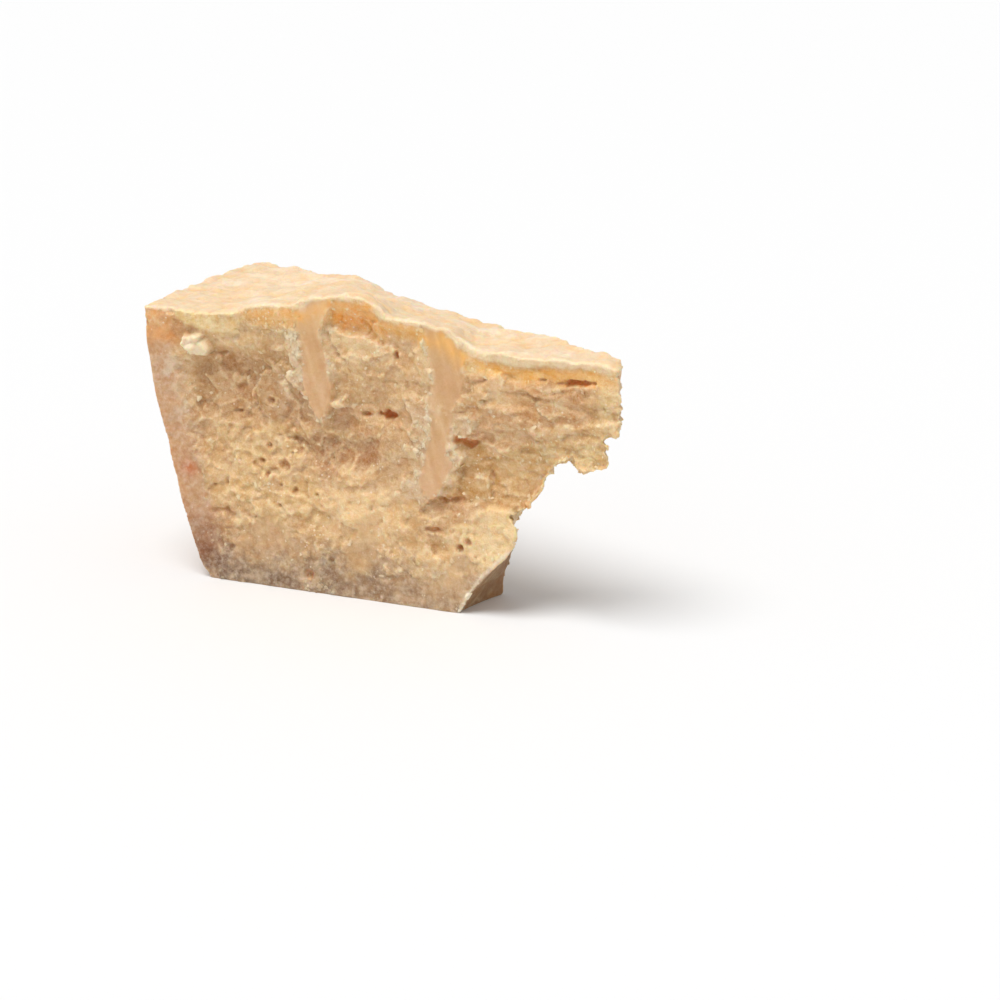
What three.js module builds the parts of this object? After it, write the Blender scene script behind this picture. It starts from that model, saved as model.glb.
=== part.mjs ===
// A wedge of hard, grainy cheese, split by hand from a wheel.
//
// The wheel was parted level at half its height and then cleft from the rim to its axis, so the piece
// has a flat rind below, the barrel-shaped rind at the wide end, two cleft faces that meet at the axis
// and a rough upper face. The lower part of the thin end has been broken away: a slanting knife cut is
// left at the foot, and above it the cheese overhangs as a nose. It is one solid, because rind and
// paste are the same cheese.
//
// The solid is a block of cells bent into that sector. Lengths are millimetres, +Z is up, +X runs
// along the front cleft face from the rind to the thin end, and the origin is under the middle of the
// bounding box.

import * as THREE from "three";
import { mergeVertices } from "three/addons/utils/BufferGeometryUtils.js";

// Driving dimensions
const AXIS_X = 172; // from the foot of the rind to the wheel's axis
const WEDGE_ANGLE = THREE.MathUtils.degToRad(20);
const HEIGHT = 107; // the level the upper face is measured from
const TIP_THICKNESS = 6; // what is left of the two cleft faces at the axis
const TEXTURE = 0.7; // depth of the coarse roughness

// Cells of the block along the radius, across the wedge and up it
const CELLS = { radius: 40, across: 8, height: 25 };

// Reads a value off a line through [place, value] points.
function along(points, place) {
  const last = points.length - 1;
  if (place <= points[0][0]) return points[0][1];
  if (place >= points[last][0]) return points[last][1];
  const i = points.findIndex(([at]) => at > place);
  const [[x0, y0], [x1, y1]] = [points[i - 1], points[i]];
  return THREE.MathUtils.mapLinear(place, x0, x1, y0, y1);
}

// The rind's radius at each height: a short round foot, then the wheel's bulge
const RIND = [
  [0, 172],
  [4, 176.3],
  [10, 178.8],
  [30, 185.2],
  [50, 189.5],
  [72, 195.2],
  [92, 198.4],
  [107, 199.3],
];

// How far the thin end stops short of the axis at each height, on the front cleft face and on the back
// one: the knife cut at the foot, the bite above it, then the nose
const THIN_END_FRONT = [
  [0, 68],
  [8, 63.5],
  [15, 58],
  [28, 45.5],
  [36, 42.5],
  [43, 47],
  [48, 37],
  [60, 32],
  [64, 18],
  [67, 6.5],
  [73, 10.5],
  [78, 5],
  [95, 3],
  [107, 4.5],
];
const THIN_END_BACK = [
  [0, 65.5],
  [6, 66.5],
  [15, 62],
  [28, 60],
  [34, 63],
  [40, 52],
  [55, 44],
  [61, 21],
  [65, 12],
  [71, 17],
  [77, 8],
  [95, 6],
  [107, 7.5],
];

// Heights of the upper face's front and back edges along the wedge
const FRONT_EDGE = [
  [-27, 104.5],
  [8, 104.5],
  [22, 109.5],
  [38, 112],
  [46, 115.5],
  [53, 117.2],
  [68, 117.2],
  [73, 111],
  [98, 109],
  [110, 101],
  [172, 101],
];
const BACK_EDGE = [
  [-20, 107.5],
  [18, 109],
  [40, 110.5],
  [56, 106.5],
  [100, 105.5],
  [160, 104.5],
  [172, 102],
];

// Broad hollows and swellings of the cleft faces: x, z, half-widths along x and z, and how far they
// come forward
const FRONT_RELIEF = [
  [14, 80, 22, 13, -7],
  [30, 56, 26, 16, -4],
  [61, 105, 12, 6.5, -5],
  [64, 74, 14, 9, -4],
  [57, 61, 9, 7, -3],
  [98, 44, 8, 6, -4],
  [124, 58, 20, 12, -4],
  [130, 96, 26, 3.5, -2],
  [112, 32, 12, 9, 1.5],
];
const BACK_RELIEF = [
  [10, 72, 26, 22, -5],
  [48, 36, 20, 14, -4],
  [70, 92, 24, 12, -5],
  [100, 58, 20, 16, -3.5],
  [26, 18, 18, 10, 1.5],
];

function relief(swellings, x, z) {
  let out = 0;
  for (const [atX, atZ, wideX, wideZ, depth] of swellings)
    out += depth * Math.exp(-(((x - atX) / wideX) ** 2) - ((z - atZ) / wideZ) ** 2);
  return out;
}

// A slow, uneven ripple between -1 and 1, the same each time
function ripple(x, y, z) {
  return (
    (Math.sin(0.31 * x + 0.17 * y + 0.9) +
      Math.sin(0.23 * y - 0.41 * z + 2.1) +
      Math.sin(0.37 * z + 0.29 * x + 4.2)) /
    3
  );
}

// Where the block's point goes: inward is 0 at the rind and 1 at the thin end, across is 0 on the
// front cleft face and 1 on the back one, and up is 0 on the flat rind and 1 on the upper face.
function place(inward, across, up) {
  const level = up * HEIGHT;
  const end = THREE.MathUtils.lerp(along(THIN_END_FRONT, level), along(THIN_END_BACK, level), across);
  const radius = THREE.MathUtils.lerp(along(RIND, level), end, inward);
  const turn = across * WEDGE_ANGLE;
  const x = AXIS_X - radius * Math.cos(turn);
  let y = radius * Math.sin(turn) + TIP_THICKNESS * across;

  const top = THREE.MathUtils.lerp(along(FRONT_EDGE, x), along(BACK_EDGE, x), across);
  let z = up * top;

  // The cleft faces are hollowed, and everything broken is rough; the flat rind and the rind's curve
  // stay true.
  const broken = Math.min(1, 12 * inward) * Math.min(1, 10 * up);
  const rough = TEXTURE * ripple(x, y, z) * broken;
  if (across === 0) y -= relief(FRONT_RELIEF, x, z) * broken + rough;
  if (across === 1) y += relief(BACK_RELIEF, x, z) * broken + rough;
  if (up === 1) z += rough;
  return [x, y, z];
}

function wedgeGeometry() {
  const block = new THREE.BoxGeometry(1, 1, 1, CELLS.radius, CELLS.across, CELLS.height);
  block.deleteAttribute("normal");
  block.deleteAttribute("uv");
  const points = block.getAttribute("position");
  for (let i = 0; i < points.count; i++) {
    const [inward, across, up] = [points.getX(i), points.getY(i), points.getZ(i)].map((v) =>
      THREE.MathUtils.clamp(v + 0.5, 0, 1),
    );
    points.setXYZ(i, ...place(inward, across, up));
  }
  return mergeVertices(block, 1e-3);
}

const geometry = wedgeGeometry();
geometry.computeBoundingBox();
const { min, max } = geometry.boundingBox;

const cheese = new THREE.Mesh(
  geometry,
  new THREE.MeshStandardMaterial({ color: 0xe3c08a, roughness: 0.6, metalness: 0 }),
);
cheese.name = "cheese_wedge";
cheese.position.set(-(min.x + max.x) / 2, -(min.y + max.y) / 2, -min.z);

const wedge = new THREE.Group();
wedge.add(cheese);

export default wedge;
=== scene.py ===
import math
import bpy
import numpy as np
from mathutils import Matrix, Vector
from mathutils.kdtree import KDTree


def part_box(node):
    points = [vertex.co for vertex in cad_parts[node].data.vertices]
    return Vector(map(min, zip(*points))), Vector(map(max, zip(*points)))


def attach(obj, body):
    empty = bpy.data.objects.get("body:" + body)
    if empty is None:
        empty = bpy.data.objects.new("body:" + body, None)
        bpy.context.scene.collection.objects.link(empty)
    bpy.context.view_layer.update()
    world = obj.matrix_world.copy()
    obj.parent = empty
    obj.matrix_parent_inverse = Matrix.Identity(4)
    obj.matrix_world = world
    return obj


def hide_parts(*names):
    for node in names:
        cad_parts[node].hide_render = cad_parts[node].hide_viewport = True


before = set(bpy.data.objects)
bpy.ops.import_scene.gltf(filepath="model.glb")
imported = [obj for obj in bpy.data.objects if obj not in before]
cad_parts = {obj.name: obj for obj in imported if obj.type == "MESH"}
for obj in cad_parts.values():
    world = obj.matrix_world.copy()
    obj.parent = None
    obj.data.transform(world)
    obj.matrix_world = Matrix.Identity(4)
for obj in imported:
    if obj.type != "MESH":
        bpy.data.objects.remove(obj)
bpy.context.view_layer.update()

# The wedge of cheese, as it was split from the wheel.
# It is hard aged paste, a sector of half a wheel, and its rind is the dried outside of the same paste.
# It was parted level with a wire, then cleft from the wheel with a short knife, driven in and prised.
VOXEL = 0.00055  # metres between the points of the skin
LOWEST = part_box("cheese_wedge")[0]
FOOT_X = LOWEST[0] * 1000 + 27.3  # mm: where the rind's foot meets the front cleft face
FRONT_Y = LOWEST[1] * 1000 + 1.52  # mm: the plane of the front cleft face

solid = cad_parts["cheese_wedge"]
wedge = bpy.data.objects.new("cheese_paste_and_rind", solid.data.copy())
bpy.context.scene.collection.objects.link(wedge)
bpy.ops.object.select_all(action="DESELECT")
bpy.context.view_layer.objects.active = wedge
wedge.select_set(True)
bpy.ops.object.mode_set(mode="EDIT")
bpy.ops.mesh.select_all(action="SELECT")
bpy.ops.mesh.remove_doubles(threshold=1e-6)
bpy.ops.object.mode_set(mode="OBJECT")
wedge.data.materials.clear()


def finish_modifier(piece, kind, **settings):
    modifier = piece.modifiers.new(kind.title(), kind)
    for name, value in settings.items():
        setattr(modifier, name, value)
    bpy.ops.object.modifier_apply(modifier=modifier.name)


# Paste has broken out of the thin end: a small chip, the bite under the nose, and crumbs down its edge.
# Each is cut with a block that follows the slant of the break, towards the rind and down with depth.
SLANT = (0.455, 0.34)  # mm towards the rind and down for each mm deeper
CLEAR_OF_FACE = 6  # mm that a block stands out in front of the face
CHIP_OUT = [
    (173, 77.5), (167.5, 76.2), (164, 77), (162, 76), (160.8, 74.6), (161.3, 73), (163, 71.4),
    (165.8, 70.4), (168, 69.8), (173, 69),
]
BITE = [
    (131, 46), (133.5, 46.6), (136, 48.7), (138, 50.2), (139, 53), (138.4, 55), (139.6, 57.5),
    (141, 60.5), (142.6, 62), (143.8, 64), (146.2, 65), (148.5, 65.8), (150, 67.8), (150.7, 66),
    (151.4, 64), (154, 63), (157, 62.2), (161, 63.5), (165, 65.3), (166.4, 67.5), (172, 67),
    (172, 50), (150, 40),
]
RAGGED_END = [
    (175, 78), (168.8, 77.6), (168.2, 80), (169.4, 82.5), (168.4, 85), (169.9, 87.6), (168.9, 90),
    (170.3, 92.6), (169, 95.4), (170, 98.4), (171.2, 100.6), (175, 101),
]


def cut_away(piece, outline, deepest):
    """Cuts a block with that outline on the front face out of the piece."""
    count = len(outline)
    corners = []
    for back_to in (-CLEAR_OF_FACE, deepest):
        for at_s, at_z in outline:
            corner = (at_s - SLANT[0] * back_to, back_to, at_z - SLANT[1] * back_to)
            corners.append(tuple((np.array(corner) + (FOOT_X, FRONT_Y, 0)) / 1000))
    walls = [(i, (i + 1) % count, count + (i + 1) % count, count + i) for i in range(count)]
    ends = [tuple(range(count))[::-1], tuple(range(count, 2 * count))]
    mesh = bpy.data.meshes.new("cutter")
    mesh.from_pydata(corners, [], walls + ends)
    cutter = bpy.data.objects.new("cutter", mesh)
    bpy.context.scene.collection.objects.link(cutter)
    bpy.context.view_layer.objects.active = cutter
    bpy.ops.object.mode_set(mode="EDIT")
    bpy.ops.mesh.select_all(action="SELECT")
    bpy.ops.mesh.normals_make_consistent(inside=False)
    bpy.ops.object.mode_set(mode="OBJECT")
    bpy.context.view_layer.objects.active = piece
    finish_modifier(piece, "BOOLEAN", operation="DIFFERENCE", object=cutter, solver="EXACT")
    bpy.data.objects.remove(cutter)


for outline, deepest in ((CHIP_OUT, 30), (BITE, 45), (RAGGED_END, 30)):
    cut_away(wedge, outline, deepest)
SMOOTH_ROUNDS = 8  # enough to take the steps out of the new skin
finish_modifier(wedge, "REMESH", mode="VOXEL", voxel_size=VOXEL, adaptivity=0)
finish_modifier(wedge, "SMOOTH", factor=0.5, iterations=SMOOTH_ROUNDS)


# The cleft faces, upper face and thin end of the wedge.
# Hard cheese doesn't cut, it breaks: along its grain, in crumbs, ledges and flakes. The skin is worked as
# a sculptor would, in mm from the foot of the rind: s along the front face, t into it, z up.
def read_points(mesh):
    points = np.empty(len(mesh.vertices) * 3, np.float32)
    mesh.vertices.foreach_get("co", points)
    points = points.reshape(-1, 3).astype(float) * 1000
    return points - (FOOT_X, FRONT_Y, 0)


def write_points(mesh, points):
    metres = (points + (FOOT_X, FRONT_Y, 0)) / 1000
    mesh.vertices.foreach_set("co", metres.astype(np.float32).ravel())
    mesh.update()


def read_normals(mesh):
    normals = np.empty(len(mesh.vertices) * 3, np.float32)
    mesh.vertex_normals.foreach_get("vector", normals)
    return normals.reshape(-1, 3).astype(float)


def ease(value, start, end):
    x = np.clip((value - start) / (end - start), 0, 1)
    return x * x * (3 - 2 * x)


def lerp(a, b, share):
    return a + (b - a) * share


def scramble(cells, seed):
    """A fixed random number from 0 to 1 for each whole-number cell."""
    x, y, z = (cells[..., i].astype(np.int64) for i in range(3))
    h = (x * 73856093) ^ (y * 19349663) ^ (z * 83492791) ^ (seed * 2654435761)
    h = (h ^ (h >> 13)) * 1274126177 & 0xFFFFFFFF
    h = (h ^ (h >> 15)) * 2246822519 & 0xFFFFFFFF
    return ((h ^ (h >> 13)) & 0xFFFFFF) / 0xFFFFFF


def clouds(points, size, seed):
    """Smooth noise from -1 to 1, with lumps of about that size: one number, or one for each axis."""
    p = points / size
    low = np.floor(p).astype(np.int64)
    f = p - low
    f = f * f * f * (f * (f * 6 - 15) + 10)
    total = 0
    for corner in np.ndindex(2, 2, 2):
        share = np.prod(np.where(corner, f, 1 - f), axis=1)
        total = total + share * scramble(low + corner, seed)
    return total * 2 - 1


def rough(points, size, seed, octaves=4):
    """Clouds of ever finer sizes added up, from about -1 to 1."""
    total = 0
    for i in range(octaves):
        total = total + clouds(points, np.asarray(size) / 2**i, seed + i) / 2**i
    return total / 1.4


def crumbs(points, size, seed):
    """Packed crumbs: the distance to the nearest one's middle, and a number of its own from 0 to 1."""
    p = points / size
    low = np.floor(p).astype(np.int64)
    nearest = np.full(len(p), 9.0)
    name = np.zeros(len(p))
    for step in np.ndindex(3, 3, 3):
        cell = low + np.array(step) - 1
        middle = cell + np.stack([scramble(cell, seed + k) for k in (11, 12, 13)], axis=1)
        gap = np.linalg.norm(middle - p, axis=1)
        nearer = gap < nearest
        name = np.where(nearer, scramble(cell, seed + 14), name)
        nearest = np.where(nearer, gap, nearest)
    return nearest, name


def flakes(points, size, seed):
    """Broken facets at levels and tilts of their own: their height, the gap to the next, a number."""
    p = points / size
    low = np.floor(p).astype(np.int64)
    first = np.full(len(p), 9.0)
    second = np.full(len(p), 9.0)
    height = np.zeros(len(p))
    name = np.zeros(len(p))
    for step in np.ndindex(3, 3, 3):
        cell = low + np.array(step) - 1
        off = p - cell - np.stack([scramble(cell, seed + k) for k in (21, 22, 23)], axis=1)
        gap = np.linalg.norm(off, axis=1)
        nearer = gap < first
        second = np.where(nearer, first, np.minimum(second, gap))
        tilt = np.stack([scramble(cell, seed + k) for k in (24, 25, 26)], axis=1) * 2 - 1
        level = scramble(cell, seed + 27)
        height = np.where(nearer, level - 0.5 + 0.8 * (off * tilt).sum(axis=1), height)
        name = np.where(nearer, level, name)
        first = np.where(nearer, gap, first)
    return height, second - first, name


def inside(s, z, outline):
    """Distance into a closed outline in the plane of a face, below 0 outside it."""
    gap = np.full(len(s), 1e9)
    odd = np.zeros(len(s), bool)
    for (s0, z0), (s1, z1) in zip(outline, outline[1:] + outline[:1]):
        ds, dz = s1 - s0, z1 - z0
        along = np.clip(((s - s0) * ds + (z - z0) * dz) / (ds * ds + dz * dz), 0, 1)
        gap = np.minimum(gap, np.hypot(s - s0 - along * ds, z - z0 - along * dz))
        crosses = (z0 > z) != (z1 > z)
        odd ^= crosses & (s < s0 + (z - z0) * ds / (dz if dz else 1e-9))
    return np.where(odd, gap, -gap)


def spot(s, z, at_s, at_z, wide_s, wide_z):
    """1 in the middle of an oval spot, falling to 0."""
    return np.exp(-(((s - at_s) / wide_s) ** 2) - ((z - at_z) / wide_z) ** 2)


def billow(points, size, seed, octaves=3):
    """Puffed lumps with sharp creases between them, from 0 in a crease to about 1."""
    total = 0
    for i in range(octaves):
        total = total + np.abs(clouds(points, np.asarray(size) / 2**i, seed + i)) / 2**i
    return total / 0.9


def read_edges(mesh):
    edges = np.empty(len(mesh.edges) * 2, np.int32)
    mesh.edges.foreach_get("vertices", edges)
    return edges.reshape(-1, 2)


def relax(values, edges, rounds, share=1.0):
    """Draws each point's values towards its neighbours', where and as much as share says."""
    count = np.bincount(edges.ravel(), minlength=len(values))[:, None]
    share = np.broadcast_to(share, len(values))[:, None]
    for _ in range(rounds):
        total = np.empty_like(values)
        for k in range(values.shape[1]):
            total[:, k] = np.bincount(edges[:, 0], values[edges[:, 1], k], len(values))
            total[:, k] += np.bincount(edges[:, 1], values[edges[:, 0], k], len(values))
        values = values + 0.5 * share * (total / count - values)
    return values


skin = wedge.data
P = read_points(skin)
RIM_S = (-27, 8, 22, 38, 46, 53, 68, 73, 98, 110, 172)
RIM_Z = (104.5, 104.5, 109.5, 112, 115.5, 117.2, 117.2, 111, 109, 101, 101)
RIM_ROUNDS = 28  # rounds of smoothing, which wear the sharp rim round
from_rim = np.hypot(P[:, 1], P[:, 2] - np.interp(P[:, 0], RIM_S, RIM_Z))
P = relax(P, read_edges(skin), RIM_ROUNDS, ease(from_rim, 9, 3))
write_points(skin, P)
P = read_points(skin)
N = read_normals(skin)
s, t, z = P.T
AXIS_S = 172  # where the wheel's axis stands
WEDGE_ANGLE = math.radians(20)
away = np.stack([s - AXIS_S, t], axis=1)
radius = np.linalg.norm(away, axis=1)
outward = (N[:, :2] * away).sum(axis=1) / radius  # 1 where the skin faces straight out of the wheel
front = ease(-N[:, 1], 0.4, 0.75) * ease(t, 22, 16)
back_normal = np.array([math.sin(WEDGE_ANGLE), math.cos(WEDGE_ANGLE)])
back = ease(N[:, :2] @ back_normal, 0.4, 0.75) * (t > 5)
upper = ease(N[:, 2], 0.45, 0.8) * ease(z, 85, 92)
foot = ease(-N[:, 2], 0.5, 0.9) * ease(z, 3, 1)
rind_side = ease(outward, 0.55, 0.85) * ease(radius, 150, 160)
broken = (1 - foot) * (1 - rind_side)
end = np.clip(broken - front - back - upper, 0, 1)
facet = end * ease(z, 30, 27)

# Depth is how far the front break lies behind the plane of the first knife stroke. The break slants, so
# what is deeper lies nearer to the rind and lower: u and v are places on the face with that taken out.
depth = t.copy()
u = s + SLANT[0] * depth
v = z + SLANT[1] * depth
fine_jag = clouds(P, 1.4, 308)
RIND_Z = (0, 4, 10, 30, 50, 72, 92, 107)
RIND_S = (0, -4.3, -6.8, -13.2, -17.5, -23.2, -26.4, -27.3)
from_rind = AXIS_S - np.interp(z, RIND_Z, RIND_S) - radius  # how far a point lies in from the rind
jag = 1.1 * rough(P, 4.5, 301, 3) + 0.5 * fine_jag


def patch(outline, soft=0.6, ragged=1.0):
    """1 on a patch of the front face with a torn edge."""
    return ease(inside(u, v, outline) + ragged * jag, -soft, soft) * front


def broad_patch(outline, soft=4):
    return ease(inside(u, v, outline) + 1.5 * jag, -soft, soft) * front


BETWEEN = [(52, 107), (87, 107), (90, 82), (84, 68), (62, 66), (52, 71)]
NOSE = [(107, 99), (168, 99), (170, 78), (158, 73), (134, 68), (112, 64), (107, 80)]
UNDER_NOSE = [
    (103, 66), (112, 67), (119, 62), (134, 69), (166, 71), (168, 58), (128, 38), (112, 44),
    (103, 44),
]
GRAINY = [(-14, 66), (60, 64), (62, 50), (52, 30), (30, 20), (8, 20), (-10, 34)]
HOLLOW = [(-4, 92), (14, 94), (34, 90), (36, 70), (20, 64), (-6, 66)]
LEDGE = [(30, 60), (46, 63), (60, 61), (72, 64), (70, 52), (56, 50), (40, 54)]
SHELL = [(62, 68), (82, 70), (86, 56), (78, 46), (62, 50)]
LIT_SLOPE = [(52, 48), (64, 50), (74, 48), (84, 38), (78, 32), (56, 30)]
SMOOTH_LEFT = [(31, 84), (34, 84), (42, 77), (46, 70), (40, 64), (32, 66), (27, 72)]

between = broad_patch(BETWEEN)
nose = broad_patch(NOSE)
under_nose = broad_patch(UNDER_NOSE, 1.2)
grainy = broad_patch(GRAINY)
hollow = broad_patch(HOLLOW)
shell = broad_patch(SHELL, 3)
lit_slope = broad_patch(LIT_SLOPE)
ledge = broad_patch(LEDGE, 2.0)
smooth_left = broad_patch(SMOOTH_LEFT, 3)

# The knife went in from the top and from the rind and left smooth tongues where it slid; the rest broke.
TONGUES = {
    "first": [
        (37, 112), (52, 117), (51, 110), (48.5, 103), (48.5, 96), (51.5, 88), (53, 79), (51.5, 71),
        (49, 69), (46.5, 70.5), (44, 74), (42, 79), (41, 87), (39.5, 96), (38, 104),
    ],
    "second": [
        (89, 112), (100, 112), (103, 106), (107, 100), (107, 89), (106, 83), (103, 80), (101, 76),
        (97, 73), (92, 75), (92, 82), (94, 88), (93, 96), (91, 102),
    ],
    "second low": [
        (92.5, 78), (102.5, 78), (101.5, 71), (100, 64), (102.5, 57), (99.5, 50), (95.5, 44),
        (90.5, 44), (88.5, 50), (91, 57), (92, 66),
    ],
    "low left": [
        (8, 9), (12, 14), (17, 24), (23.5, 30.5), (29, 29), (33.5, 25), (36, 19), (38, 12),
    ],
    "low middle": [(54, 12), (58, 20), (62, 26), (66.5, 30.5), (70, 26), (71, 20), (73, 12)],
    "low right": [
        (88, 2), (91, 10), (98, 15), (103.5, 22.5), (108, 21), (111, 17), (108, 8), (104, 2),
    ],
}
# Slabs and flakes that stand beside them: how deep each lies, in mm, and its outline.
TORN_SLABS = {
    "first": (0.25, [
        (35, 101), (40, 104), (41, 95), (43, 87), (44, 74), (46.5, 70.5), (42, 77), (36.5, 82),
        (34, 84.5), (37, 87.5), (35, 92), (33, 97),
    ]),
    "sliver": (0.5, [
        (86, 99), (90.5, 104), (92.5, 102), (94, 88), (91, 86.5), (89, 91), (86.5, 95),
    ]),
    "second": (0.3, [
        (83.5, 78.5), (89.5, 80.5), (92, 77), (102, 77), (102.5, 80), (105, 77), (110, 76.5),
        (110.5, 71), (104.5, 67.5), (102, 63.5), (107, 61.5), (106, 57.5), (101, 53), (98, 46),
        (90, 41), (79, 43.5), (82, 49.5), (86, 51), (88, 61), (84.5, 68), (86, 72),
    ]),
    "left plate": (4.4, [
        (22.5, 80.5), (19, 78), (20, 71), (27, 66), (33, 70), (35, 76), (31, 83), (33, 86),
        (29.5, 87), (25, 86),
    ]),
    "chunk": (2.3, [
        (51, 104), (54, 105.5), (60, 103), (64.5, 104.5), (70.5, 101.5), (71.5, 98.5), (68, 94),
        (62, 93.5), (57, 96.5), (54, 98),
    ]),
    "chip": (0.8, [(52.5, 75.5), (54.5, 78), (58, 78), (59, 75.5), (56, 73.5), (53.5, 73.5)]),
    "slab": (3.6, [(103.5, 53), (116, 55.5), (116.5, 50), (116, 45), (109, 43.5), (105.5, 47)]),
    "flake": (2.2, [(11, 95), (15.5, 93), (21, 96), (19, 98.5), (15, 96.5)]),
    "star": (0.5, [
        (113, 89), (116, 90.5), (117, 93), (121, 94.5), (122.5, 91), (122, 88.5), (119, 87.5),
    ]),
    "oval": (0.4, [(108, 86), (112, 88), (116.5, 86), (116, 84), (112.5, 83), (109, 84)]),
    "row": (0.7, [
        (133, 73.5), (137, 76), (142.5, 76), (146.5, 77.5), (152, 77), (150.5, 75), (145, 73.5),
        (137, 73),
    ]),
}

cleft = np.maximum(front, back)
scored = np.maximum(
    ease(from_rind + 1.6 * jag, 13, 9.5) * ease(z, 99, 96),
    ease(z + 1.6 * jag, 12.5, 8),
) * cleft
tongue = np.zeros(len(P))
torn_edge = np.zeros(len(P))
for name, outline in TONGUES.items():
    high_up = not name.startswith("low")
    ragged, fade, smooth, lipped = (0.9, 0.8, 1, 1) if high_up else (2.0, 2.6, 0.6, 0.4)
    within = inside(u, v, outline) + ragged * jag
    tongue = np.maximum(tongue, smooth * ease(within, -fade, 0.7 * fade) * front)
    torn_edge = np.maximum(torn_edge, lipped * np.exp(-(((within + 0.5) / 1.1) ** 2)) * front)
slab = {}
for name, (_, outline) in TORN_SLABS.items():
    within = inside(u, v, outline) + jag
    slab[name] = ease(within, -0.6, 0.6) * front * (1 - tongue)
    torn_edge = np.maximum(torn_edge, 0.8 * np.exp(-((within / 0.9) ** 2)) * front * (1 - tongue))
knife = np.maximum(tongue, scored)

# The break itself: slow swells, facets of two sizes, thin sheets along the grain, then puffs and crumbs.
warped = P + 1.0 * np.stack([clouds(P, 5, 321 + i) for i in range(3)], axis=1)
torn_grain = warped + 0.5 * np.stack([clouds(P, 1.5, 331 + i) for i in range(3)], axis=1)
swell = rough(P, 15, 310, 3)
big, big_gap, big_name = flakes(torn_grain, (9, 9, 6.5), 610)
middling, middling_gap, middling_name = flakes(torn_grain, (4.2, 4.2, 3.2), 620)
sheets, sheet_gap, sheet_name = flakes(torn_grain, (17, 13, 3.3), 630)
streaks = billow(warped, (17, 10, 2.6), 345, 3)
puffs = billow(warped, 4.4, 350, 4)
small = crumbs(P + 0.4 * np.stack([clouds(P, 2, 325 + i) for i in range(3)], axis=1), 2.1, 370)[0]
crumb = 0.75 - small**2 * 1.5
dots, dot_name = crumbs(P + 0.8 * fine_jag[:, None], 4.6, 375)
pores = ease(dots * 4.6, 1.2, 0.4) * (dot_name < 0.22)

wandering = rough(P, 32, 306, 2) * back  # the back face is crumbly in one place and leafy in another
crumbly = 0.5 + 0.9 * wandering + 0.5 * grainy + 0.2 * hollow
crumbly = crumbly - 0.35 * nose - 0.35 * shell - 0.3 * smooth_left - 0.15 * between
crumbly = np.clip(crumbly, 0.1, 1)
leafy = 0.1 - 0.9 * wandering + 0.75 * nose + 0.2 * between + 0.5 * under_nose - 0.1 * grainy
leafy = np.clip(leafy, 0, 1)
torn = (
    0.8 * swell
    + 1.1 * big * (1 - 0.65 * shell) * (1 - 0.7 * leafy)
    + 0.75 * middling * (1 - 0.5 * shell) * (1 - 0.7 * leafy)
    + 1.5 * sheets * leafy
    + 0.8 * (streaks - 0.45) * leafy
    + 0.55 * (puffs - 0.45) * crumbly
    + 0.65 * (crumb - 0.3) * (0.2 + 0.8 * crumbly)
    - 1.2 * pores * crumbly
)
lip = np.maximum.reduce([
    ease(big_gap, 0.12, 0.03) * ease(big, 0, 0.25),
    ease(middling_gap, 0.2, 0.05) * ease(middling, 0, 0.25) * 0.8,
    ease(sheet_gap, 0.1, 0.03) * ease(sheets, 0, 0.25) * leafy,
])
chipped = (big_name - 0.5) * (1 - leafy) + 0.7 * (middling_name - 0.5) + (sheet_name - 0.5) * leafy

# Depth of the front break, region by region; close under the rim it is smooth and hardly sunk.
below_edge = np.interp(s, RIM_S, RIM_Z) - z
sheltered = ease(below_edge, 10, 4) * ease(s, 12, 17) * front
sunk = 0.7 + 1.3 * between + 0.9 * nose + 2.2 * under_nose + 1.8 * ledge
sunk = sunk + 0.8 * shell + 0.9 * smooth_left + 0.5 * hollow
front_depth = depth + sunk * ease(below_edge, 0, 8) - torn * (1 - 0.7 * sheltered)
for name, share in slab.items():
    grainy_by = 0.14 if name in ("first", "second") else 0.3
    flat = TORN_SLABS[name][0] - grainy_by * (crumb + 1.3 * rough(P, 3, 390, 3))
    front_depth = lerp(front_depth, np.minimum(front_depth, flat), share)

LOBE = [(-14, 106), (15, 107), (15, 103), (12, 98.5), (6, 97), (-2, 98), (-9, 99), (-14, 101)]
LOW_LUMP = [
    (97, 30), (104, 35), (107, 33.5), (112, 41), (117, 43), (125, 43), (129, 38), (130, 32),
    (122, 20), (116, 18), (109, 22), (103.5, 25), (99.5, 25.5),
]
lobe = patch(LOBE, 1.4)
lump_slope = 1 - np.hypot((u + 5 + 0.2 * (v - 92)) / 5.8, (v - 92) / 4.6) + 0.35 * jag
lump = ease(lump_slope, -0.05, 0.2) * front
low_lump = patch(LOW_LUMP, 1.2)
front_depth = lerp(front_depth, np.minimum(front_depth, 0.5) - 0.4 * puffs, lobe)
leaning_fibres = np.stack([s + 0.7 * z, t, z - 0.7 * s], axis=1)
fibres = billow(leaning_fibres, (4.5, 4, 1.5), 395, 3)
lump_depth = 0.2 - 2.0 * np.sqrt(np.clip(lump_slope, 0, 1)) - 2.2 * (fibres - 0.4)
front_depth = lerp(front_depth, lump_depth, lump)
front_depth = lerp(front_depth, np.minimum(front_depth, 0.8) - 0.5 * puffs, low_lump)

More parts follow.
